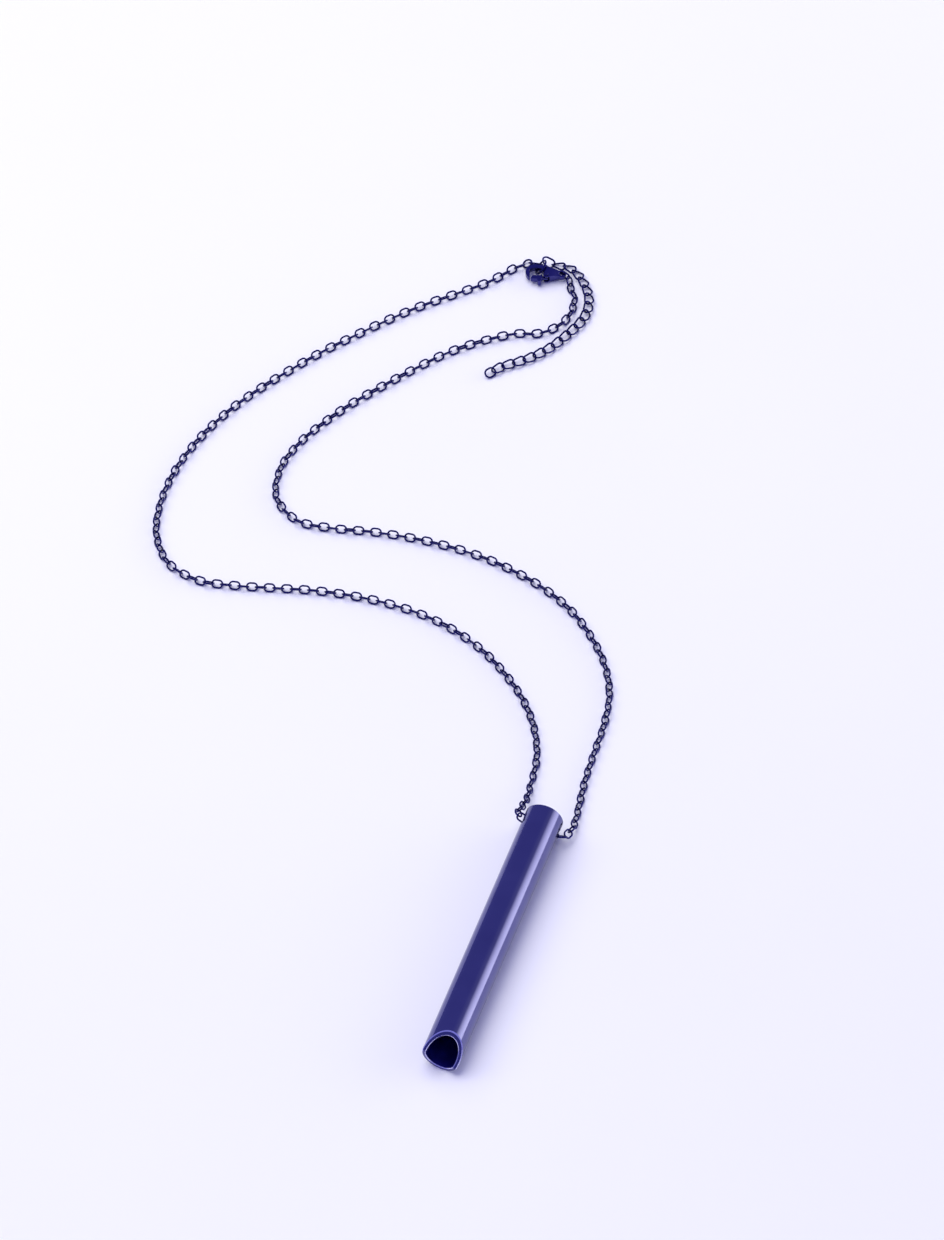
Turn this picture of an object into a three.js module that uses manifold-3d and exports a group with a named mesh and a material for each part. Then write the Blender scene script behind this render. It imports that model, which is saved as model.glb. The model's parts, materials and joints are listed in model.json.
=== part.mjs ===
// Breathing necklace: a slim open metal tube with a bevelled mouth end, threaded on a fine cable chain that
// closes with a lobster clasp and ends in a short extender chain. Millimetres, +Z up. The tube lies along Y
// on the plane z = 0 with its mouth at -Y, and the origin is under the middle of the tube.
import * as THREE from "three";
import { mergeVertices } from "three/addons/utils/BufferGeometryUtils.js";
import Module from "manifold-3d";

const wasm = await Module();
wasm.setup();

// ---- driving dimensions ----
const TUBE_LENGTH = 67;
const TUBE_OUTER_R = 4;
const TUBE_INNER_R = 3.2;
const TUBE_EDGE = 0.2; // chamfer round the far end, outside and inside
const TUBE_SIDES = 56;
const ROLL = THREE.MathUtils.degToRad(21); // the tube lies rolled a little about its own axis

// The mouth is cut by two planes that meet in a ridge across the tube.
const BEVEL_SLOPE = 1.03; // upper plane, about 46 degrees to the section
const HEEL_SLOPE = 0.21; // lower plane, about 12 degrees
const HEEL_TURN = THREE.MathUtils.degToRad(17); // the lower plane isn't quite opposite the bevel
const RIDGE_OFFSET = 0.42; // the ridge passes this far below the axis

const HOLE_R = 1.3; // cross-holes for the chain
const HOLE_FROM_END = 2.6;

// Chain strands: tubes that hold the space of an oval-link cable chain.
const STRAND_R = 0.8;
const STRAND_SIDES = 8;
const STRAND_STEP = 3.2;
const LIE_Z = 0.85; // height of a strand's centre line where it lies on the plane

// Hardware: wire and ring sizes
const RING_WIRE_R = 0.2;
const END_RING_R = 0.95; // ring on the last link of the left strand
const HOOK_RING_R = 1.6; // ring that the clasp hooks into
const TAIL_RING_R = 0.85; // ring in the clasp's tail eye
const JOINING_LINK = { length: 3.2, width: 2.0, wire: 0.19, twist: 0 };
const CURB_LINK = { length: 3.2, width: 2.2, wire: 0.2, twist: THREE.MathUtils.degToRad(70) };
const EXTENDER_LINKS = 19;
const EXTENDER_Z = 0.75;
const EXTENDER_LEAN = -14; // degrees
const END_RING_LEAN = -30; // degrees
const END_RING_REACH = 1.95; // from the last link to the end ring
const EXTENDER_END_RING = { length: 2.7, width: 2.2, wire: 0.2, twist: 0 };

// Clasp, drawn with its tail eye at +X and its hook at -X
const CLASP_AT = new THREE.Vector3(-47, 174.4, 1.2);
const CLASP_TURN = THREE.MathUtils.degToRad(12.9);
const CLASP_HALF = 1.0; // half its thickness over the pivot
const HOOK_HALF = 0.62; // and where it thins towards the hook and the eye
const CLASP_EDGE = 0.15;
const HEAD_R = 2.0; // round hook end
const HEAD_X = -2.2;
const EYE_X = 3.35;
const EYE_OUTER_R = 0.95;
const EYE_HOLE_R = 0.5;
const HOOK_SPACE = { x: -1.9, rx: 1.45, ry: 1.05 };
const PIVOT = { x: 0.3, y: -0.9 };
const PIVOT_BOSS_R = 0.72;
const LEVER_SHOULDER_R = 0.95;
const LEVER_REACH = 3.35; // from the pivot to the lever's tip
const LEVER_HALF = 0.6;
const TANG = { low: -0.5, high: 0.1 }; // the lever's tang, measured across the clasp's thickness
const SLOT_HALF = 0.62;
const RIVET_R = 0.25;
const RIVET_HOLE_R = 0.3;
const RIVET_HEAD_R = 0.42;
const RIVET_HEAD_H = 0.15;
const KNOB = { x: -1.1, y: -2.3, r: 0.45, half: 0.75 };

// ---- routes, [x, y, z]: each point is chosen on the chain's centre line ----
const LEFT_ROUTE = [
  [-4.3, 31.0, 5.4], [-5.1, 31.8, 5.2], [-5.4, 33.6, 4.5], [-5.4, 36.0, 3.3], [-5.6, 38.8, 2.0],
  [-6.2, 42.6, 1.0], [-7.4, 50.4, LIE_Z], [-10.4, 57.7, LIE_Z], [-14.9, 64.1, LIE_Z],
  [-20.6, 69.5, LIE_Z], [-27.0, 74.0, LIE_Z], [-34.2, 77.3, LIE_Z], [-41.8, 79.2, LIE_Z],
  [-49.7, 79.8, LIE_Z], [-57.5, 79.4, LIE_Z], [-65.3, 78.2, LIE_Z], [-72.9, 76.3, LIE_Z],
  [-80.6, 74.4, LIE_Z], [-88.4, 73.3, LIE_Z], [-95.6, 75.6, LIE_Z], [-100.4, 81.8, LIE_Z],
  [-102.4, 89.4, LIE_Z], [-102.7, 97.3, LIE_Z], [-101.7, 105.1, LIE_Z], [-99.6, 112.7, LIE_Z],
  [-96.6, 120.0, LIE_Z], [-92.8, 126.9, LIE_Z], [-88.6, 133.5, LIE_Z], [-84.1, 140.0, LIE_Z],
  [-79.2, 146.2, LIE_Z], [-74.2, 152.3, LIE_Z], [-68.9, 158.1, LIE_Z], [-63.2, 163.5, LIE_Z],
  [-57.9, 168.6, LIE_Z], [-55.0, 172.4, LIE_Z], [-53.9, 174.0, LIE_Z],
];
const RIGHT_ROUTE = [
  [4.3, 30.9, 2.5], [5.2, 31.7, 2.35], [5.6, 33.5, 1.95], [5.6, 35.6, 1.45], [5.3, 38.2, 1.05],
  [4.8, 41.4, 0.9], [3.9, 47.7, LIE_Z], [3.3, 55.6, LIE_Z], [2.8, 63.5, LIE_Z],
  [1.3, 71.3, LIE_Z], [-2.1, 78.4, LIE_Z], [-7.1, 84.6, LIE_Z], [-13.0, 89.8, LIE_Z],
  [-19.9, 93.6, LIE_Z], [-27.4, 96.2, LIE_Z], [-35.1, 97.8, LIE_Z], [-43.0, 98.3, LIE_Z],
  [-50.9, 98.0, LIE_Z], [-58.8, 97.0, LIE_Z], [-66.5, 95.4, LIE_Z], [-74.3, 95.0, LIE_Z],
  [-80.3, 99.4, LIE_Z], [-82.1, 107.1, LIE_Z], [-80.7, 114.8, LIE_Z], [-77.5, 122.1, LIE_Z],
  [-73.6, 128.9, LIE_Z], [-69.1, 135.4, LIE_Z], [-64.4, 141.8, LIE_Z], [-59.4, 148.0, LIE_Z],
  [-53.6, 153.3, LIE_Z], [-47.6, 157.4, LIE_Z], [-43.9, 158.6, LIE_Z], [-41.0, 161.0, LIE_Z],
  [-39.2, 164.2, LIE_Z], [-38.8, 167.4, LIE_Z], [-39.4, 170.6, LIE_Z], [-41.3, 173.2, 0.95],
];
const FIRST_LINK_AT = new THREE.Vector3(-47.31, 177.18, 1.69); // hangs from the hook ring
const FIRST_LINK_TURN = { heading: 5, pitch: 36, lean: 26 };
const EXTENDER_ROUTE = [
  [-45.25, 177.7], [-43.0, 177.8], [-40.9, 176.8], [-39.2, 175.3], [-37.8, 173.6],
  [-36.7, 171.8], [-35.9, 169.3], [-35.7, 166.6], [-36.2, 163.9], [-37.2, 161.3], [-38.3, 158.8],
  [-39.5, 156.4], [-41.1, 154.1], [-43.0, 151.9], [-45.2, 149.9], [-47.5, 148.0], [-49.4, 145.6],
];
const END_RING_AT = new THREE.Vector3(-51.6, 176.3, 0.66);
const JOINING_LINK_AT = new THREE.Vector3(-49.88, 176.56, 0.98);
const JOINING_LINK_TURN = { heading: 7, pitch: -2, lean: -53 };
const HOOK_RING_AT = new THREE.Vector3(-48.4, 175.57, 1.5);
const TAIL_RING_AT = new THREE.Vector3(-42.85, 175.25, 1.2);

// ---- materials ----
const steel = new THREE.MeshStandardMaterial({ color: 0x1d1b33, roughness: 0.2, metalness: 1 });
const chainSteel = new THREE.MeshStandardMaterial({ color: 0x1c1a3a, roughness: 0.32, metalness: 1 });
const springSteel = new THREE.MeshStandardMaterial({ color: 0x6d6d76, roughness: 0.4, metalness: 1 });

// ---- helpers ----
const rad = THREE.MathUtils.degToRad;
const V = (x, y, z = 0) => new THREE.Vector3(x, y, z);

// The geometry with its shared vertices merged, so that it is one closed surface.
function welded(geometry) {
  geometry.deleteAttribute("normal");
  geometry.deleteAttribute("uv");
  return mergeVertices(geometry, 1e-4);
}

function toSolid(closed) {
  return new wasm.Manifold(
    new wasm.Mesh({
      numProp: 3,
      vertProperties: new Float32Array(closed.attributes.position.array),
      triVerts: new Uint32Array(closed.index.array),
    }),
  );
}

function toGeometry(solid) {
  const mesh = solid.getMesh();
  const g = new THREE.BufferGeometry();
  g.setAttribute("position", new THREE.BufferAttribute(new Float32Array(mesh.vertProperties), 3));
  g.setIndex(new THREE.BufferAttribute(new Uint32Array(mesh.triVerts), 1));
  g.computeVertexNormals();
  return g;
}

function named(name, geometry, material) {
  const mesh = new THREE.Mesh(geometry, material);
  mesh.name = name;
  return mesh;
}

// A cylinder along local Z, from z0 to z1.
function rod(radius, z0, z1, sides, x = 0, y = 0) {
  const g = welded(new THREE.CylinderGeometry(radius, radius, z1 - z0, sides));
  return g.rotateX(Math.PI / 2).translate(x, y, (z0 + z1) / 2);
}

// A flat outline given a thickness centred on z = 0, with bevelled edges that stay inside the outline.
// Where two stretches of the outline meet, their shared point is kept once.
function plate(shape, half, edge) {
  const points = shape.getPoints(10);
  const once = points.filter((p, i) => p.distanceTo(points[(i + 1) % points.length]) > 0.02);
  const solid = new THREE.ExtrudeGeometry(new THREE.Shape(once), {
    depth: 2 * (half - edge),
    bevelEnabled: edge > 0,
    bevelThickness: edge,
    bevelSize: edge,
    bevelOffset: -edge,
    bevelSegments: 1,
  });
  return welded(solid).translate(0, 0, -(half - edge));
}

function polygonShape(radius, sides) {
  const corner = (i) => new THREE.Vector2(radius, 0).rotateAround(new THREE.Vector2(), (i / sides) * 2 * Math.PI);
  return new THREE.Shape(Array.from({ length: sides }, (_, i) => corner(i)));
}

function tubeAlong(curve, radius, sides, steps) {
  return new THREE.ExtrudeGeometry(polygonShape(radius, sides), {
    steps,
    extrudePath: curve,
    bevelEnabled: false,
  });
}

const smooth = (points) => new THREE.CatmullRomCurve3(points, false, "centripetal");

// An oval link in its own XY plane, long axis X, its two ends turned against each other by its twist.
function linkGeometry({ length, width, wire, twist }, radial = 6, around = 14) {
  const bend = width / 2 - wire;
  const straight = length / 2 - width / 2;
  const g = new THREE.TorusGeometry(bend, wire, radial, around);
  g.rotateZ(Math.PI / around);
  const p = g.attributes.position;
  for (let i = 0; i < p.count; i++) {
    const x = p.getX(i) + Math.sign(p.getX(i)) * straight;
    const a = ((x / length) * twist);
    const y = p.getY(i) * Math.cos(a) - p.getZ(i) * Math.sin(a);
    const z = p.getY(i) * Math.sin(a) + p.getZ(i) * Math.cos(a);
    p.setXYZ(i, x, y, z);
  }
  return g;
}

const ringGeometry = (radius) => new THREE.TorusGeometry(radius, RING_WIRE_R, 6, 16);

// ---- pendant tube ----
// Built along Y, mouth at -Y, with the ridge and the cross-holes along local X, then rolled.
function pendantTube() {
  const half = TUBE_LENGTH / 2;
  const profile = [
    V(TUBE_INNER_R, -half), V(TUBE_OUTER_R, -half), V(TUBE_OUTER_R, half - TUBE_EDGE),
    V(TUBE_OUTER_R - TUBE_EDGE, half), V(TUBE_INNER_R + TUBE_EDGE, half),
    V(TUBE_INNER_R, half - TUBE_EDGE), V(TUBE_INNER_R, -half),
  ].map((p) => new THREE.Vector2(p.x, p.y));
  const shell = welded(new THREE.LatheGeometry(profile, TUBE_SIDES));
  let solid = toSolid(shell).subtract(mouthCutter(BEVEL_SLOPE, 0));
  solid = solid.subtract(mouthCutter(HEEL_SLOPE, Math.PI + HEEL_TURN));
  const holes = rod(HOLE_R, -2 * TUBE_OUTER_R, 2 * TUBE_OUTER_R, 24).rotateY(Math.PI / 2);
  solid = solid.subtract(toSolid(holes.translate(0, half - HOLE_FROM_END, 0)));
  const tube = named("pendant_tube", toGeometry(solid), steel);
  tube.rotation.y = ROLL;
  tube.position.z = TUBE_OUTER_R;
  return tube;
}

// A block that cuts the mouth end with a plane through the ridge. The plane climbs towards the far end in
// the direction that `turn` gives round the axis, counted from straight up.
function mouthCutter(slope, turn) {
  const size = 6 * TUBE_OUTER_R;
  const block = welded(new THREE.BoxGeometry(size, size, size)).translate(0, -size / 2, 0);
  block.rotateX(-Math.atan(slope)).rotateY(turn);
  return toSolid(block.translate(0, -TUBE_LENGTH / 2, -RIDGE_OFFSET));
}

// ---- strands ----
function strand(name, route) {
  const curve = smooth(route.map((p) => V(...p)));
  const steps = Math.round(curve.getLength() / STRAND_STEP);
  return named(name, tubeAlong(curve, STRAND_R, STRAND_SIDES, steps), chainSteel);
}

// The short stretch inside the tube, along the line of the cross-holes.
function throughStrand() {
  const half = TUBE_OUTER_R - 0.3;
  const g = rod(STRAND_R, -half, half, STRAND_SIDES).rotateY(Math.PI / 2);
  const mesh = named("chain_through_tube", g, chainSteel);
  mesh.rotation.y = ROLL;
  mesh.position.set(0, TUBE_LENGTH / 2 - HOLE_FROM_END, TUBE_OUTER_R);
  return mesh;
}

// ---- rings ----
function ringAt(name, radius, at, normal) {
  const mesh = named(name, ringGeometry(radius), chainSteel);
  mesh.position.copy(at);
  mesh.quaternion.setFromUnitVectors(V(0, 0, 1), normal.clone().normalize());
  return mesh;
}

function endHardware() {
  const group = new THREE.Group();
  group.add(ringAt("left_end_ring", END_RING_R, END_RING_AT, V(-0.42, -0.2, 1)));
  group.add(ringAt("hook_ring", HOOK_RING_R, HOOK_RING_AT, V(-0.8, -0.1, 0.6)));
  group.add(ringAt("clasp_tail_ring", TAIL_RING_R, TAIL_RING_AT, V(0.2, 1, 0)));
  const joining = named("joining_link", linkGeometry(JOINING_LINK), chainSteel);
  group.add(laid(joining, JOINING_LINK_AT, JOINING_LINK_TURN));
  return group;
}

// Places a link, in degrees: its long axis turned by `heading` round Z and dipping by `pitch`, and its
// plane leaning about that axis.
function laid(mesh, at, { heading, pitch = 0, lean }) {
  mesh.position.copy(at);
  mesh.rotation.set(rad(lean), rad(pitch), rad(heading), "ZYX");
  return mesh;
}

// ---- extender chain ----
function extender() {
  const group = new THREE.Group();
  const curve = smooth(EXTENDER_ROUTE.map((p) => V(p[0], p[1], EXTENDER_Z)));
  const length = curve.getLength();
  const pitch = (length - END_RING_REACH) / (EXTENDER_LINKS - 2);
  const turnAt = (distance) => {
    const along = curve.getTangentAt(distance / length);
    return { heading: THREE.MathUtils.radToDeg(Math.atan2(along.y, along.x)), lean: EXTENDER_LEAN };
  };
  for (let i = 0; i < EXTENDER_LINKS; i++) {
    const link = named("extender_link_" + String(i + 1).padStart(2, "0"), linkGeometry(CURB_LINK), chainSteel);
    const distance = pitch * (i - 1);
    if (i === 0) group.add(laid(link, FIRST_LINK_AT, FIRST_LINK_TURN));
    else group.add(laid(link, curve.getPointAt(distance / length), turnAt(distance)));
  }
  const last = named("extender_end_ring", linkGeometry(EXTENDER_END_RING), chainSteel);
  group.add(laid(last, curve.getPointAt(1), { ...turnAt(length), lean: END_RING_LEAN }));
  return group;
}

// ---- clasp ----
function claspOutline() {
  const s = new THREE.Shape();
  s.absarc(HEAD_X, 0, HEAD_R, rad(240), rad(80), true);
  s.bezierCurveTo(0.2, 1.75, 1.4, 0.9, EYE_X - 0.6, 0.74);
  s.absarc(EYE_X, 0, EYE_OUTER_R, rad(129), rad(-129), true);
  s.quadraticCurveTo(1.9, -0.95, PIVOT.x + PIVOT_BOSS_R * Math.cos(rad(-40)), PIVOT.y - 0.46);
  s.absarc(PIVOT.x, PIVOT.y, PIVOT_BOSS_R, rad(-40), rad(-220), true);
  s.lineTo(HOOK_SPACE.x + HOOK_SPACE.rx * Math.cos(rad(-8)), HOOK_SPACE.ry * Math.sin(rad(-8)));
  s.absellipse(HOOK_SPACE.x, 0, HOOK_SPACE.rx, HOOK_SPACE.ry, rad(-8), rad(232), false);
  s.closePath();
  return s;
}

// The clasp seen on edge: thick over the pivot, thinner at the hook and the eye.
function claspSide() {
  const half = [[-4.5, HOOK_HALF], [-1.3, HOOK_HALF + 0.06], [-0.3, CLASP_HALF], [1.6, CLASP_HALF],
    [2.7, HOOK_HALF], [4.5, HOOK_HALF]];
  const outline = half.map(([x, z]) => V(x, z)).concat(half.reverse().map(([x, z]) => V(x, -z)));
  const side = new THREE.Shape(outline.map((p) => new THREE.Vector2(p.x, p.y)));
  return plate(side, 3, 0).rotateX(Math.PI / 2);
}

// Where the lever's tip passes the hook's tip as it opens.
function leverSweep() {
  const s = new THREE.Shape();
  s.absarc(PIVOT.x, PIVOT.y, LEVER_REACH + 0.15, rad(172), rad(205), false);
  s.absarc(PIVOT.x, PIVOT.y, 2.7, rad(205), rad(172), true);
  s.closePath();
  return s;
}

function claspBody() {
  const slot = welded(new THREE.BoxGeometry(1.9, 1.75, 2 * SLOT_HALF)).translate(-0.05, -0.95, 0);
  let solid = toSolid(plate(claspOutline(), CLASP_HALF, CLASP_EDGE)).intersect(toSolid(claspSide()));
  solid = solid.subtract(toSolid(slot));
  solid = solid.subtract(toSolid(plate(leverSweep(), 2, 0)));
  solid = solid.subtract(toSolid(rod(RIVET_HOLE_R, -2, 2, 12, PIVOT.x, PIVOT.y)));
  solid = solid.subtract(toSolid(rod(EYE_HOLE_R, -2, 2, 14, EYE_X, 0)));
  return named("clasp_body", toGeometry(solid), chainSteel);
}

// The lever closes the open side of the hook. Its tang turns on the rivet between the body's two cheeks.
function claspLever() {
  const bar = new THREE.Shape();
  bar.absarc(HEAD_X, 0, HEAD_R, rad(247), rad(275), false);
  const shoulder = rad(221);
  bar.quadraticCurveTo(
    -1.0, -2.0,
    PIVOT.x + LEVER_SHOULDER_R * Math.cos(shoulder), PIVOT.y + LEVER_SHOULDER_R * Math.sin(shoulder),
  );
  bar.absarc(PIVOT.x, PIVOT.y, LEVER_SHOULDER_R, shoulder, rad(155), true);
  bar.absellipse(HOOK_SPACE.x, 0, HOOK_SPACE.rx, HOOK_SPACE.ry, rad(-38), rad(-118), true);
  bar.closePath();
  const tang = new THREE.Shape();
  tang.moveTo(PIVOT.x - 1.25, PIVOT.y - 0.5);
  tang.lineTo(PIVOT.x, PIVOT.y - 0.45);
  tang.absarc(PIVOT.x, PIVOT.y, 0.45, rad(-90), rad(90), false);
  tang.lineTo(PIVOT.x - 1.25, PIVOT.y + 0.12);
  tang.closePath();
  const half = (TANG.high - TANG.low) / 2;
  const tangPlate = plate(tang, half, 0).translate(0, 0, (TANG.high + TANG.low) / 2);
  const reach = rod(LEVER_REACH, -2, 2, 64, PIVOT.x, PIVOT.y);
  let solid = toSolid(plate(bar, LEVER_HALF, 0)).intersect(toSolid(reach)).add(toSolid(tangPlate));
  solid = solid.add(toSolid(rod(KNOB.r, -KNOB.half, KNOB.half, 12, KNOB.x, KNOB.y)));
  solid = solid.subtract(toSolid(rod(RIVET_HOLE_R, -2, 2, 12, PIVOT.x, PIVOT.y)));
  return named("clasp_lever", toGeometry(solid), chainSteel);
}

function claspRivet() {
  const gap = 0.03;
  const under = CLASP_HALF + gap;
  const top = under + RIVET_HEAD_H;
  const profile = [
    [0, -top], [RIVET_HEAD_R * 0.8, -top], [RIVET_HEAD_R, -under], [RIVET_R, -under],
    [RIVET_R, under], [RIVET_HEAD_R, under], [RIVET_HEAD_R * 0.8, top], [0, top],
  ].map((p) => new THREE.Vector2(...p));
  const g = new THREE.LatheGeometry(profile, 12).rotateX(Math.PI / 2).translate(PIVOT.x, PIVOT.y, 0);
  return named("clasp_rivet", g, chainSteel);
}

// A small torsion spring round the rivet, beside the lever's tang.
class SpringCoil extends THREE.Curve {
  getPoint(t, target = new THREE.Vector3()) {
    const a = t * 2 * Math.PI * 2;
    return target.set(PIVOT.x + 0.4 * Math.cos(a), PIVOT.y + 0.4 * Math.sin(a), 0.22 + 0.28 * t);
  }
}

function claspSpring() {
  return named("clasp_spring", tubeAlong(new SpringCoil(), 0.05, 6, 24), springSteel);
}

function clasp() {
  const group = new THREE.Group();
  group.add(claspBody(), claspLever(), claspRivet(), claspSpring());
  group.position.copy(CLASP_AT);
  group.rotation.z = CLASP_TURN;
  return group;
}

const necklace = new THREE.Group();
necklace.add(
  pendantTube(),
  strand("chain_left_strand", LEFT_ROUTE),
  strand("chain_right_strand", RIGHT_ROUTE),
  throughStrand(),
  endHardware(),
  extender(),
  clasp(),
);

export default necklace;
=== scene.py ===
"""Breathing necklace: a slim bevelled metal tube that hangs on a fine cable chain, laid on a pale table.

The chain's links, the clasp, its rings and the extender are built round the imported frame.
All lengths are in metres unless a name says otherwise.
"""

import json
import math

import bmesh
import bpy
import numpy as np
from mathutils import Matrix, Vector


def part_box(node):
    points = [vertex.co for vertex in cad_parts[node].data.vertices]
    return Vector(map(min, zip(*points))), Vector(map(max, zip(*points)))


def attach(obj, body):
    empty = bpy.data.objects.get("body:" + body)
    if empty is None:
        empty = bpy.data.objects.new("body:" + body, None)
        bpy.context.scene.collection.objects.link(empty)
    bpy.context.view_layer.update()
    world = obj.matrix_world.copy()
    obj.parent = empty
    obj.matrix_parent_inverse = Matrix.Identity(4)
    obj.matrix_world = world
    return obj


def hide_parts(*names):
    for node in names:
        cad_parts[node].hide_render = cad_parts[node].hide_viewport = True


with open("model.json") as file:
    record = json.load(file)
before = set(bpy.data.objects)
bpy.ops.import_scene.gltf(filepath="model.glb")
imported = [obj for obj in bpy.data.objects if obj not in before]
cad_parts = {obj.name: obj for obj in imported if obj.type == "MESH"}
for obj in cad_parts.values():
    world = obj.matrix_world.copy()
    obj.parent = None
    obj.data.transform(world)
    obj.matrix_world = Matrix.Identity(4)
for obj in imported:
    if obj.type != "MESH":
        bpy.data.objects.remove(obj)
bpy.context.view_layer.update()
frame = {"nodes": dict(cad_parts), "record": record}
MM = 0.001
SEED = 7
UP = (0, 0, 1)

# ---- camera ----
AIM = Vector((-0.0319, 0.0817, 0.0))
CAMERA_AZIMUTH = math.radians(18.6)
CAMERA_ELEVATION = math.radians(50)
CAMERA_DISTANCE = 6.0
LENS_MM = 848.4  # far away with a long lens, so the view is close to parallel
SENSOR_MM = 36
CLIP = (1.0, 30)

# ---- main chain ----
LINK_PITCH = 1.80 * MM
LINK = {"length": 2.57 * MM, "width": 1.93 * MM, "wire": 0.19 * MM, "twist": 0.0}
LINK_ROLL = math.radians(45)  # a link lies turned this far to one side, the next one to the other
LINK_JITTER = math.radians(5)  # spread of that turn from link to link
SETTLE = 0.11 * MM  # how far the links lie below the middle of the strand's own solid
LEFT_ROUTE = [
    (-0.0043, 0.0310, 0.0054), (-0.0051, 0.0318, 0.0052), (-0.0054, 0.0336, 0.0045),
    (-0.0054, 0.0360, 0.0033), (-0.0056, 0.0388, 0.0020), (-0.0062, 0.0426, 0.0010),
    (-0.0074, 0.0504, 0.00085), (-0.0104, 0.0577, 0.00085), (-0.0149, 0.0641, 0.00085),
    (-0.0206, 0.0695, 0.00085), (-0.0270, 0.0740, 0.00085), (-0.0342, 0.0773, 0.00085),
    (-0.0418, 0.0792, 0.00085), (-0.0497, 0.0798, 0.00085), (-0.0575, 0.0794, 0.00085),
    (-0.0653, 0.0782, 0.00085), (-0.0729, 0.0763, 0.00085), (-0.0806, 0.0744, 0.00085),
    (-0.0884, 0.0733, 0.00085), (-0.0956, 0.0756, 0.00085), (-0.1004, 0.0818, 0.00085),
    (-0.1024, 0.0894, 0.00085), (-0.1027, 0.0973, 0.00085), (-0.1017, 0.1051, 0.00085),
    (-0.0996, 0.1127, 0.00085), (-0.0966, 0.1200, 0.00085), (-0.0928, 0.1269, 0.00085),
    (-0.0886, 0.1335, 0.00085), (-0.0841, 0.1400, 0.00085), (-0.0792, 0.1462, 0.00085),
    (-0.0742, 0.1523, 0.00085), (-0.0689, 0.1581, 0.00085), (-0.0632, 0.1635, 0.00085),
    (-0.0579, 0.1686, 0.00085), (-0.0550, 0.1724, 0.00085), (-0.0539, 0.1740, 0.00085),
]
RIGHT_ROUTE = [
    (0.0043, 0.0309, 0.0025), (0.0052, 0.0317, 0.00235), (0.0056, 0.0335, 0.00195),
    (0.0056, 0.0356, 0.00145), (0.0053, 0.0382, 0.00105), (0.0048, 0.0414, 0.0009),
    (0.0039, 0.0477, 0.00085), (0.0033, 0.0556, 0.00085), (0.0028, 0.0635, 0.00085),
    (0.0013, 0.0713, 0.00085), (-0.0021, 0.0784, 0.00085), (-0.0071, 0.0846, 0.00085),
    (-0.0130, 0.0898, 0.00085), (-0.0199, 0.0936, 0.00085), (-0.0274, 0.0962, 0.00085),
    (-0.0351, 0.0978, 0.00085), (-0.0430, 0.0983, 0.00085), (-0.0509, 0.0980, 0.00085),
    (-0.0588, 0.0970, 0.00085), (-0.0665, 0.0954, 0.00085), (-0.0743, 0.0950, 0.00085),
    (-0.0803, 0.0994, 0.00085), (-0.0821, 0.1071, 0.00085), (-0.0807, 0.1148, 0.00085),
    (-0.0775, 0.1221, 0.00085), (-0.0736, 0.1289, 0.00085), (-0.0691, 0.1354, 0.00085),
    (-0.0644, 0.1418, 0.00085), (-0.0594, 0.1480, 0.00085), (-0.0536, 0.1533, 0.00085),
    (-0.0476, 0.1574, 0.00085), (-0.0439, 0.1586, 0.00085), (-0.0410, 0.1610, 0.00085),
    (-0.0392, 0.1642, 0.00085), (-0.0388, 0.1674, 0.00085), (-0.0394, 0.1706, 0.00085),
    (-0.0413, 0.1732, 0.00095),
]
LEFT_LAST = (-0.0529, 0.1750, 0.00085)  # middle of the link that holds the left end ring
RIGHT_LAST = (-0.04169, 0.17423, 0.0011)  # middle of the link that holds the clasp's tail ring

# ---- tube ----
TUBE_LENGTH = 67 * MM
TUBE_OUTER_R = 4 * MM
TUBE_INNER_R = 3.2 * MM
TUBE_ROLL = math.radians(21)
TUBE_EDGE = 0.2 * MM
HOLE_R = 1.3 * MM
HOLE_FROM_END = 2.6 * MM
BEVEL_SLOPE = 1.03
HEEL_SLOPE = 0.21
HEEL_TURN = math.radians(17)
RIDGE_OFFSET = 0.42 * MM
MOUTH_EDGE = 0.14 * MM
TUBE_SIDES = 224
WALL_ROWS = 72
HOLE_SIDES = 72
# the tool that cuts the cross-holes: how far out each of its rings is, and how much wider than the hole
HOLE_STATIONS = [-1.3, -1.01, -0.925, 0.925, 1.01, 1.3]  # in tube radii
HOLE_FLARE = [0.24 * MM, 0.12 * MM, 0, 0, 0.12 * MM, 0.24 * MM]

# ---- rings and links of the clasp end ----
CURB_LINK = {"length": 3.2 * MM, "width": 2.2 * MM, "wire": 0.2 * MM, "twist": math.radians(70)}
JOINING_LINK = {"length": 3.2 * MM, "width": 2.0 * MM, "wire": 0.19 * MM, "twist": 0.0}
EXTENDER_RING = {"length": 2.7 * MM, "width": 2.2 * MM, "wire": 0.2 * MM, "twist": 0.0}
RING_WIRE = 0.2 * MM
RING_RADIUS = {"left_end_ring": 0.95 * MM, "hook_ring": 1.6 * MM, "clasp_tail_ring": 0.85 * MM}


# ---- small helpers ----
def new_object(name, verts, faces, material, smooth=True):
    mesh = bpy.data.meshes.new(name)
    mesh.from_pydata([tuple(v) for v in verts], [], [tuple(f) for f in faces])
    mesh.polygons.foreach_set("use_smooth", [smooth] * len(mesh.polygons))
    mesh.materials.append(material)
    obj = bpy.data.objects.new(name, mesh)
    bpy.context.scene.collection.objects.link(obj)
    return obj


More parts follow.
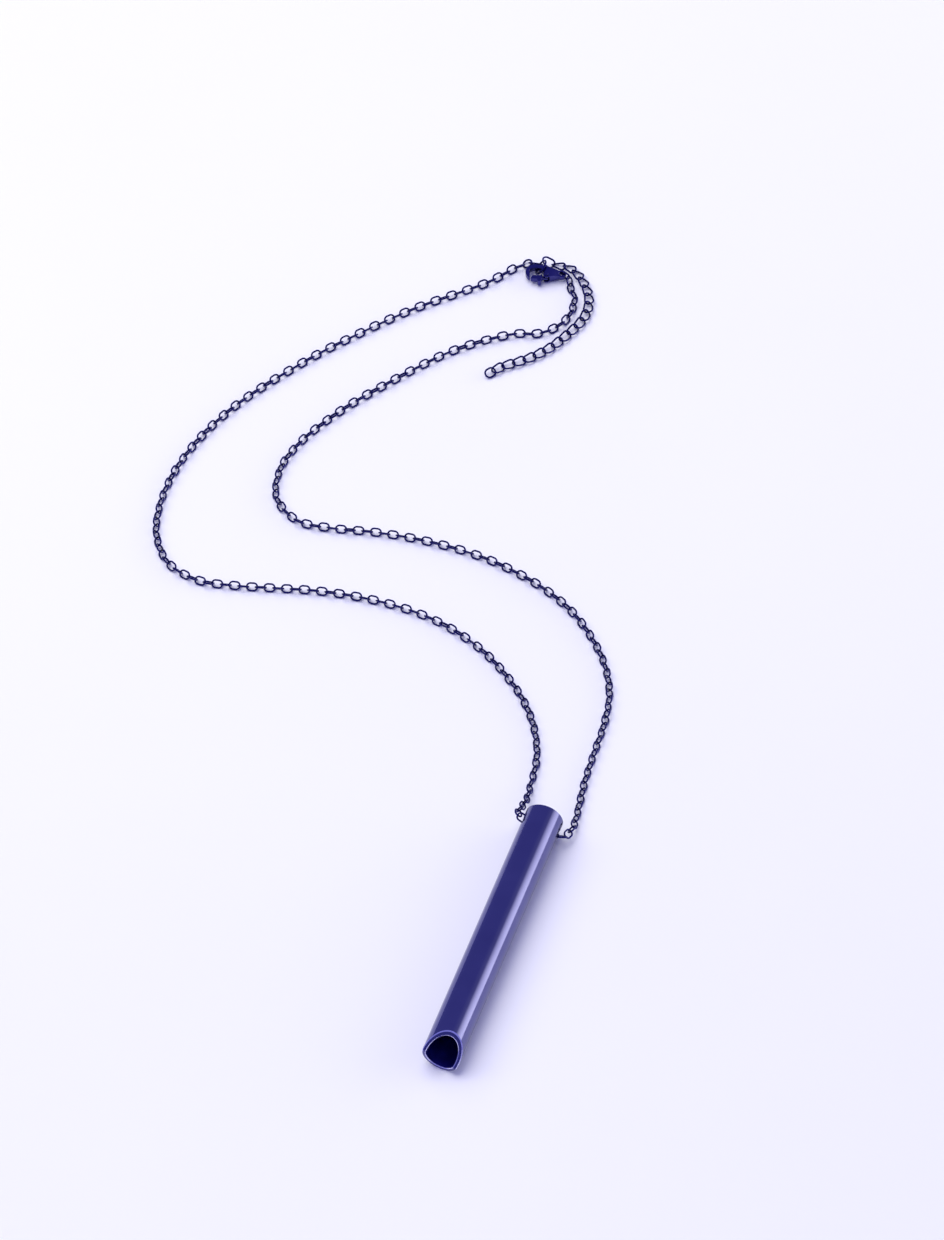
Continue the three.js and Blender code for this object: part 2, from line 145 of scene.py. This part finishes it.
def catmull_rom(points, per_span=24):
    """A centripetal Catmull-Rom curve through the points, as dense points along it."""
    p = [np.array(q, float) for q in points]
    p = [2 * p[0] - p[1], *p, 2 * p[-1] - p[-2]]
    out = []
    for a, b, c, d in zip(p, p[1:], p[2:], p[3:]):
        t1 = np.linalg.norm(b - a) ** 0.5
        t2 = t1 + np.linalg.norm(c - b) ** 0.5
        t3 = t2 + np.linalg.norm(d - c) ** 0.5
        for t in np.linspace(t1, t2, per_span, endpoint=False):
            ab = a + (b - a) * t / t1
            bc = b + (c - b) * (t - t1) / (t2 - t1)
            cd = c + (d - c) * (t - t2) / (t3 - t2)
            abc = ab + (bc - ab) * t / t2
            bcd = bc + (cd - bc) * (t - t1) / (t3 - t1)
            out.append(abc + (bcd - abc) * (t - t1) / (t2 - t1))
    out.append(p[-2])
    return np.array(out)


def at_lengths(line, distances):
    """Points and directions at these distances along a dense line."""
    steps = np.linalg.norm(np.diff(line, axis=0), axis=1)
    total = np.concatenate([[0], np.cumsum(steps)])
    at = lambda d: np.column_stack([np.interp(d, total, line[:, k]) for k in range(3)])
    ahead, behind = at(distances + 0.4 * MM), at(distances - 0.4 * MM)
    way = ahead - behind
    return at(distances), way / np.linalg.norm(way, axis=1, keepdims=True)


def line_length(line):
    return float(np.linalg.norm(np.diff(line, axis=0), axis=1).sum())


def link_mesh(length, width, wire, twist, around=48, radial=14):
    """A closed oval link along x, flat in xy, twisted about x."""
    bend = width / 2 - wire
    straight = length / 2 - width / 2
    a = (np.arange(around) + 0.5) * 2 * math.pi / around
    v = np.arange(radial) * 2 * math.pi / radial
    a, v = [g.ravel() for g in np.meshgrid(a, v, indexing="ij")]
    r = bend + wire * np.cos(v)
    x = r * np.cos(a) + np.sign(np.cos(a)) * straight
    y, z = r * np.sin(a), wire * np.sin(v)
    t = x / length * twist
    verts = np.column_stack([x, y * np.cos(t) - z * np.sin(t), y * np.sin(t) + z * np.cos(t)])
    return verts, grid_faces(around, radial, True)


def grid_faces(rows, columns, closed_rows):
    faces = []
    for i in range(rows if closed_rows else rows - 1):
        for j in range(columns):
            k, m = (i + 1) % rows, (j + 1) % columns
            faces.append((i * columns + j, k * columns + j, k * columns + m, i * columns + m))
    return faces


def jump_ring_mesh(radius, wire, around=56, radial=14, slit=math.radians(2.2)):
    """A round wire ring with the fine slit where it was closed."""
    a = np.linspace(slit / 2, 2 * math.pi - slit / 2, around)
    v = np.arange(radial) * 2 * math.pi / radial
    verts = []
    for p in a:
        for q in v:
            r = radius + wire * math.cos(q)
            verts.append((r * math.cos(p), r * math.sin(p), wire * math.sin(q)))
    faces = grid_faces(around, radial, False)
    faces.append(tuple(range(radial)))
    faces.append(tuple(reversed(range((around - 1) * radial, around * radial))))
    return np.array(verts), faces


def node_points(node):
    co = np.array([v.co for v in frame["nodes"][node].data.vertices], float)
    return np.unique(np.round(co, 7), axis=0)


def node_frame(node, reference=None):
    """Middle and axes of a link or ring's own CAD node: columns are its long, wide and thin ways."""
    co = node_points(node)
    middle = co.mean(0)
    _, axes = np.linalg.eigh(np.cov((co - middle).T))
    thin = axes[:, 0]
    long = axes[:, 2] if reference is None else np.array(reference, float)
    thin = thin if thin[2] >= 0 else -thin
    long = long - thin * long.dot(thin)
    long = long / np.linalg.norm(long)
    return middle, np.column_stack([long, np.cross(thin, long), thin])


# ---- materials ----
def nodes_of(name):
    material = bpy.data.materials.new(name)
    material.use_nodes = True
    tree = material.node_tree
    return material, tree.nodes, tree.links, tree.nodes["Principled BSDF"]


def noise(nodes, links, scale, detail=4.0, stretch=(1, 1, 1)):
    where = nodes.new("ShaderNodeTexCoord")
    mapping = nodes.new("ShaderNodeMapping")
    mapping.inputs["Scale"].default_value = stretch
    texture = nodes.new("ShaderNodeTexNoise")
    texture.inputs["Scale"].default_value = scale
    texture.inputs["Detail"].default_value = detail
    links.new(where.outputs["Object"], mapping.inputs["Vector"])
    links.new(mapping.outputs["Vector"], texture.inputs["Vector"])
    return texture.outputs["Fac"]


def ramp(nodes, links, value, low, high, start=0.3, stop=0.7):
    spread = nodes.new("ShaderNodeMapRange")
    spread.inputs["From Min"].default_value = start
    spread.inputs["From Max"].default_value = stop
    spread.inputs["To Min"].default_value = low
    spread.inputs["To Max"].default_value = high
    links.new(value, spread.inputs["Value"])
    return spread.outputs["Result"]


def mixed(nodes, links, value, dark, light):
    mix = nodes.new("ShaderNodeMix")
    mix.data_type = "RGBA"
    mix.inputs["A"].default_value = (*dark, 1)
    mix.inputs["B"].default_value = (*light, 1)
    links.new(value, mix.inputs["Factor"])
    return mix.outputs["Result"]


def bumped(nodes, links, height, distance, strength, shader):
    bump = nodes.new("ShaderNodeBump")
    bump.inputs["Distance"].default_value = distance
    bump.inputs["Strength"].default_value = strength
    links.new(height, bump.inputs["Height"])
    links.new(bump.outputs["Normal"], shader.inputs["Normal"])


def coated_steel(name, dark, light, smooth, rough, scale, brush=(1, 1, 1), strength=0.1):
    """Dark coated metal: faint colour drift, uneven polish and fine brush marks."""
    material, nodes, links, shader = nodes_of(name)
    shader.inputs["Metallic"].default_value = 1.0
    drift = noise(nodes, links, scale)
    links.new(mixed(nodes, links, ramp(nodes, links, drift, 0, 1), dark, light), shader.inputs["Base Color"])
    wear = noise(nodes, links, scale * 4.1, 6.0)
    links.new(ramp(nodes, links, wear, smooth, rough), shader.inputs["Roughness"])
    marks = noise(nodes, links, scale * 20, 3.0, brush)
    bumped(nodes, links, marks, 0.02 * MM, strength, shader)
    return material


tube_steel = coated_steel(
    "tube_steel", (0.105, 0.104, 0.255), (0.125, 0.124, 0.285), 0.08, 0.14, 120, (1, 0.05, 1), 0.03)
# painted light: the bore is the tube's own metal made paler and bluer, so the shade inside the hollow
# renders lighter
bore_painted_fill = coated_steel("bore_painted_fill", (0.05, 0.05, 0.45), (0.07, 0.07, 0.54), 0.35, 0.5, 200)
# painted shade: a darker copy of the tube's own metal for the mouth's cut faces, the far end and the hole
# walls, standing in for their dark reflection
rim_painted_shade = coated_steel("rim_painted_shade", (0.08, 0.08, 0.23), (0.10, 0.10, 0.27), 0.2, 0.3, 300)
# painted highlight: a pale copy of the tube's own metal on the mouth's chamfered edges, standing in for
# their glints
edge_painted_highlight = coated_steel("edge_painted_highlight", (0.62, 0.61, 0.92), (0.72, 0.71, 0.98), 0.2, 0.35, 400)
chain_steel = coated_steel("chain_steel", (0.018, 0.017, 0.12), (0.036, 0.035, 0.175), 0.18, 0.32, 500)
clasp_steel = coated_steel("clasp_steel", (0.035, 0.034, 0.17), (0.06, 0.058, 0.225), 0.14, 0.26, 350)
spring_steel = coated_steel("spring_steel", (0.42, 0.42, 0.45), (0.52, 0.52, 0.55), 0.25, 0.4, 900)


# ---- camera and cords, made first ----
def make_camera():
    back = Vector((
        math.sin(CAMERA_AZIMUTH) * math.cos(CAMERA_ELEVATION),
        -math.cos(CAMERA_AZIMUTH) * math.cos(CAMERA_ELEVATION),
        math.sin(CAMERA_ELEVATION),
    ))
    data = bpy.data.cameras.new("camera")
    data.lens = LENS_MM
    data.sensor_width = SENSOR_MM
    data.clip_start, data.clip_end = CLIP
    camera = bpy.data.objects.new("camera", data)
    camera.location = AIM + back * CAMERA_DISTANCE
    camera.rotation_mode = "QUATERNION"
    camera.rotation_quaternion = (-back).to_track_quat("-Z", "Y")
    bpy.context.scene.collection.objects.link(camera)
    bpy.context.scene.camera = camera


def settled(points):
    return [(x, y, z - SETTLE) for x, y, z in points]


def chain_links():
    """The whole chain as one row of links: their meshes and where their middles lie."""
    rng = np.random.default_rng(SEED)
    route = settled([LEFT_LAST, *reversed(LEFT_ROUTE)] + RIGHT_ROUTE + [RIGHT_LAST])
    line = catmull_rom(route)
    count = round(line_length(line) / LINK_PITCH)
    pitch = line_length(line) / count
    middles, ways = at_lengths(line, np.arange(count + 1) * pitch)
    verts, faces = link_mesh(**LINK, around=36, radial=10)
    placed = []
    for i, (middle, way) in enumerate(zip(middles, ways)):
        side = np.cross(way, UP)
        side = side / np.linalg.norm(side)
        up = np.cross(side, way)
        roll = (LINK_ROLL if i % 2 else -LINK_ROLL) + rng.normal(0, LINK_JITTER)
        wide = math.cos(roll) * side + math.sin(roll) * up
        thin = np.cross(way, wide)
        placed.append(middle + verts @ np.array([way, wide, thin]))
    return placed, faces, middles


def chain_piece(name, chosen, placed, faces):
    size = len(placed[0])
    verts = np.concatenate([placed[i] for i in chosen])
    all_faces = [tuple(k + n * size for k in f) for n in range(len(chosen)) for f in faces]
    piece = new_object(name, verts, all_faces, chain_steel)
    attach(piece, "chain")
    return piece


make_camera()
link_places, link_faces, link_middles = chain_links()
HOLE_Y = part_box("pendant_tube")[1].y - HOLE_FROM_END
in_tube = [
    i for i, p in enumerate(link_middles)
    if abs(p[0]) < TUBE_OUTER_R - 0.3 * MM and abs(p[1] - HOLE_Y) < TUBE_OUTER_R
]
first_in, last_in = in_tube[0], in_tube[-1]
after = last_in + 1
left_chain = chain_piece("chain_left_links", range(first_in), link_places, link_faces)
inner_chain = chain_piece("chain_inner_links", range(first_in, after), link_places, link_faces)
right_chain = chain_piece("chain_right_links", range(after, len(link_places)), link_places, link_faces)
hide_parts("chain_left_strand")
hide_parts("chain_through_tube")
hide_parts("chain_right_strand")


# ---- tube ----
def mouth_end(x, z):
    """How far the mouth's two cut planes stand in front of the tube's square end."""
    over = z + RIDGE_OFFSET
    heel = -HEEL_SLOPE * (math.sin(HEEL_TURN) * x + math.cos(HEEL_TURN) * over)
    return -TUBE_LENGTH / 2 + max(BEVEL_SLOPE * over, heel)


def tube_ring(radius, place, around):
    """One ring of points; place gives y from the point's x and z."""
    points = []
    for i in range(around):
        a = i * 2 * math.pi / around
        x, z = radius * math.sin(a), radius * math.cos(a)
        points.append((x, place(x, z), z))
    return points


def pendant_tube():
    """The shell as one closed loop of rings: out along the wall, over the far end, back along the bore."""
    half = TUBE_LENGTH / 2

    def along(share):
        return lambda x, z: (mouth_end(x, z) + MOUTH_EDGE) * (1 - share) + (half - TUBE_EDGE) * share

    rings = [(TUBE_OUTER_R, along(share)) for share in np.linspace(0, 1, WALL_ROWS)]
    rings.append((TUBE_OUTER_R - TUBE_EDGE, lambda x, z: half))
    rings.append((TUBE_INNER_R + TUBE_EDGE, lambda x, z: half))
    rings += [(TUBE_INNER_R, along(share)) for share in np.linspace(1, 0, WALL_ROWS)]
    rings.append((TUBE_INNER_R + MOUTH_EDGE, mouth_end))
    rings.append((TUBE_OUTER_R - MOUTH_EDGE, mouth_end))
    verts = [p for radius, place in rings for p in tube_ring(radius, place, TUBE_SIDES)]
    faces = grid_faces(len(rings), TUBE_SIDES, True)
    tube = new_object("pendant_tube_shell", verts, faces, tube_steel)
    # the bore's painted fill, the rims' painted shade and the mouth edges' painted highlight
    for material in (bore_painted_fill, rim_painted_shade, edge_painted_highlight):
        tube.data.materials.append(material)
    cut_holes(tube)
    dress_tube(tube)
    turn = np.array([[math.cos(TUBE_ROLL), 0, math.sin(TUBE_ROLL)], [0, 1, 0],
                     [-math.sin(TUBE_ROLL), 0, math.cos(TUBE_ROLL)]])
    for vertex in tube.data.vertices:
        vertex.co = turn @ np.array(vertex.co) + (0, 0, TUBE_OUTER_R)
    tube.data.update()
    return tube


def cut_holes(tube):
    """The two cross-holes, each with a fine chamfer."""
    middle = TUBE_LENGTH / 2 - HOLE_FROM_END
    verts = []
    for u, more in zip(HOLE_STATIONS, HOLE_FLARE):
        for i in range(HOLE_SIDES):
            a = i * 2 * math.pi / HOLE_SIDES
            r = HOLE_R + more
            verts.append((u * TUBE_OUTER_R, middle + r * math.cos(a), r * math.sin(a)))
    rings = len(HOLE_STATIONS)
    faces = grid_faces(rings, HOLE_SIDES, False)
    faces.append(tuple(reversed(range(HOLE_SIDES))))
    faces.append(tuple(range((rings - 1) * HOLE_SIDES, rings * HOLE_SIDES)))
    cutter = new_object("hole_cutter", verts, faces, tube_steel)
    mesh = bmesh.new()
    mesh.from_mesh(cutter.data)
    bmesh.ops.recalc_face_normals(mesh, faces=mesh.faces)
    mesh.to_mesh(cutter.data)
    mesh.free()
    cut = tube.modifiers.new("holes", "BOOLEAN")
    cut.operation = "DIFFERENCE"
    cut.object = cutter
    cut.solver = "EXACT"
    apply_modifiers(tube)
    bpy.data.objects.remove(cutter)


def apply_modifiers(obj):
    depsgraph = bpy.context.evaluated_depsgraph_get()
    made = bpy.data.meshes.new_from_object(obj.evaluated_get(depsgraph))
    obj.modifiers.clear()
    obj.data = made


def dress_tube(tube):
    """Painted fill, shade and highlight materials by where a face lies, and exact round normals on the two
    cylinder walls.
    """
    mesh = tube.data
    rim_low, rim_high = TUBE_INNER_R + MOUTH_EDGE * 0.9, TUBE_OUTER_R - MOUTH_EDGE * 0.9
    normals = [Vector((0, 0, 0))] * len(mesh.loops)
    for face in mesh.polygons:
        away = Vector((face.center.x, 0, face.center.z))
        facing = face.normal.dot(away.normalized())
        outer = facing > 0.97 and away.length > TUBE_OUTER_R * 0.995
        inner = facing < -0.97 and away.length < TUBE_INNER_R * 1.02
        on_rim = face.center.y < 0 and rim_low < away.length < rim_high
        # outer wall plain metal; bore painted fill; mouth cut faces, far end and hole walls painted shade;
        # mouth chamfers painted highlight
        face.material_index = 0 if outer else 1 if inner else 2 if on_rim or face.center.y > 0 else 3
        for k in face.loop_indices:
            at = mesh.vertices[mesh.loops[k].vertex_index].co
            radial = Vector((at.x, 0, at.z)).normalized()
            normals[k] = radial if outer else -radial if inner else face.normal.copy()
    mesh.normals_split_custom_set(normals)


tube = pendant_tube()
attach(tube, "pendant")
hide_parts("pendant_tube")


# ---- rings, links and extender ----
def standing_in(name, node, mesh, body, material, reference=None):
    verts, faces = mesh
    middle, axes = node_frame(node, reference)
    piece = new_object(name, middle + verts @ axes.T, faces, material)
    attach(piece, body)
    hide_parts(node)
    return piece


def body_of(node):
    return next(b for b, ns in frame["record"]["behaviour"]["bodies"].items() if node in ns)


def hand_on(node):
    """The finer piece that stands in for a link or ring of the CAD model."""
    if node in RING_RADIUS:
        mesh = jump_ring_mesh(RING_RADIUS[node], RING_WIRE)
        return standing_in(node + "_wire", node, mesh, "chain", chain_steel, (0.3, -0.9, 0.3))
    shape = {"joining_link": JOINING_LINK, "extender_end_ring": EXTENDER_RING}.get(node, CURB_LINK)
    return standing_in(node + "_wire", node, link_mesh(**shape), body_of(node), chain_steel)


ring_pieces = {node: hand_on(node) for node in [*RING_RADIUS, "joining_link", "extender_end_ring"]}
extender_pieces = [hand_on(n) for n in sorted(frame["nodes"]) if n.startswith("extender_link_")]


# ---- clasp ----
def rounded_copy(node, name, body, material, voxel_mm=0.07, passes=7, doming=0):
    """A CAD piece with its edges worn round, as cast and tumbled metal is; doming swells its flats in z."""
    source = frame["nodes"][node].data
    mesh = bpy.data.meshes.new(name)
    verts = [tuple(v.co / MM) for v in source.vertices]  # in mm, which suits the remesher
    mesh.from_pydata(verts, [], [tuple(p.vertices) for p in source.polygons])
    obj = bpy.data.objects.new(name, mesh)
    bpy.context.scene.collection.objects.link(obj)
    weld = obj.modifiers.new("weld", "WELD")
    weld.merge_threshold = 0.0005
    remesh = obj.modifiers.new("remesh", "REMESH")
    remesh.mode = "VOXEL"
    remesh.voxel_size = voxel_mm
    soften = obj.modifiers.new("soften", "SMOOTH")
    soften.factor = 0.5
    soften.iterations = passes
    dome = obj.modifiers.new("dome", "SMOOTH")
    dome.factor = 0.5
    dome.iterations = doming
    dome.use_x = dome.use_y = False
    apply_modifiers(obj)
    for vertex in obj.data.vertices:
        vertex.co *= MM
    obj.data.polygons.foreach_set("use_smooth", [True] * len(obj.data.polygons))
    obj.data.materials.clear()
    obj.data.materials.append(material)
    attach(obj, body)
    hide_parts(node)
    return obj


clasp_body = rounded_copy("clasp_body", "clasp_hook_body", "chain", clasp_steel, 0.07, 12, 70)
clasp_lever = rounded_copy("clasp_lever", "clasp_lever_arm", "clasp_lever", clasp_steel, 0.06, 10)
clasp_rivet = rounded_copy("clasp_rivet", "clasp_rivet_pin", "chain", clasp_steel, 0.04, 4)
spring = frame["nodes"]["clasp_spring"]
spring.data.materials.clear()
spring.data.materials.append(spring_steel)


# ---- table and light ----
TABLE_HALF = 3.0
WINDOW_SIDE = Vector((0.79, 0.61, 0.0))
ROOM_STOPS = [  # from the side away from the window to the window itself
    (0.0, (0.24, 0.24, 0.62)),
    (0.55, (0.24, 0.24, 0.62)),
    (0.80, (0.40, 0.40, 0.70)),
    (1.0, (4.0, 3.95, 3.2)),
]


def table():
    material, nodes, links, shader = nodes_of("table_white")
    drift = noise(nodes, links, 6, 3.0)
    colour = mixed(nodes, links, ramp(nodes, links, drift, 0, 1), (0.90, 0.90, 0.93), (0.92, 0.92, 0.94))
    links.new(colour, shader.inputs["Base Color"])
    shader.inputs["Roughness"].default_value = 0.6
    h = TABLE_HALF
    corners = [(-h, -h, 0), (h, -h, 0), (h, h, 0), (-h, h, 0)]
    floor = new_object("table_top", corners, [(0, 1, 2, 3)], material, smooth=False)


def area_light(name, at, aim, size, power, colour):
    data = bpy.data.lights.new(name, "AREA")
    data.shape = "RECTANGLE"
    data.size = size
    data.size_y = size
    data.energy = power
    data.color = colour
    light = bpy.data.objects.new(name, data)
    light.location = at
    light.visible_glossy = False  # the polished tube mirrors the room alone
    light.rotation_mode = "QUATERNION"
    light.rotation_quaternion = (Vector(aim) - Vector(at)).to_track_quat("-Z", "Y")
    bpy.context.scene.collection.objects.link(light)


def sky():
    """A dim violet room that grows bright towards one low window side."""
    world = bpy.data.worlds.new("room")
    bpy.context.scene.world = world
    world.use_nodes = True
    nodes, links = world.node_tree.nodes, world.node_tree.links
    background = nodes["Background"]
    where = nodes.new("ShaderNodeTexCoord")
    side = nodes.new("ShaderNodeVectorMath")
    side.operation = "DOT_PRODUCT"
    side.inputs[1].default_value = WINDOW_SIDE.normalized()
    links.new(where.outputs["Generated"], side.inputs[0])
    colours = nodes.new("ShaderNodeValToRGB")
    ends = colours.color_ramp.elements
    for n, (at, colour) in enumerate(ROOM_STOPS):
        stop = ends[n] if n < 2 else ends.new(at)
        stop.position = at
        stop.color = (*colour, 1)
    links.new(side.outputs["Value"], colours.inputs["Fac"])
    links.new(colours.outputs["Color"], background.inputs["Color"])
    background.inputs["Strength"].default_value = 1.0


table()
sky()
area_light("key", (-0.9, 0.5, 1.6), (-0.03, 0.08, 0), 2.2, 42, (1.0, 0.99, 0.87))
bpy.context.scene.view_settings.view_transform = "Standard"
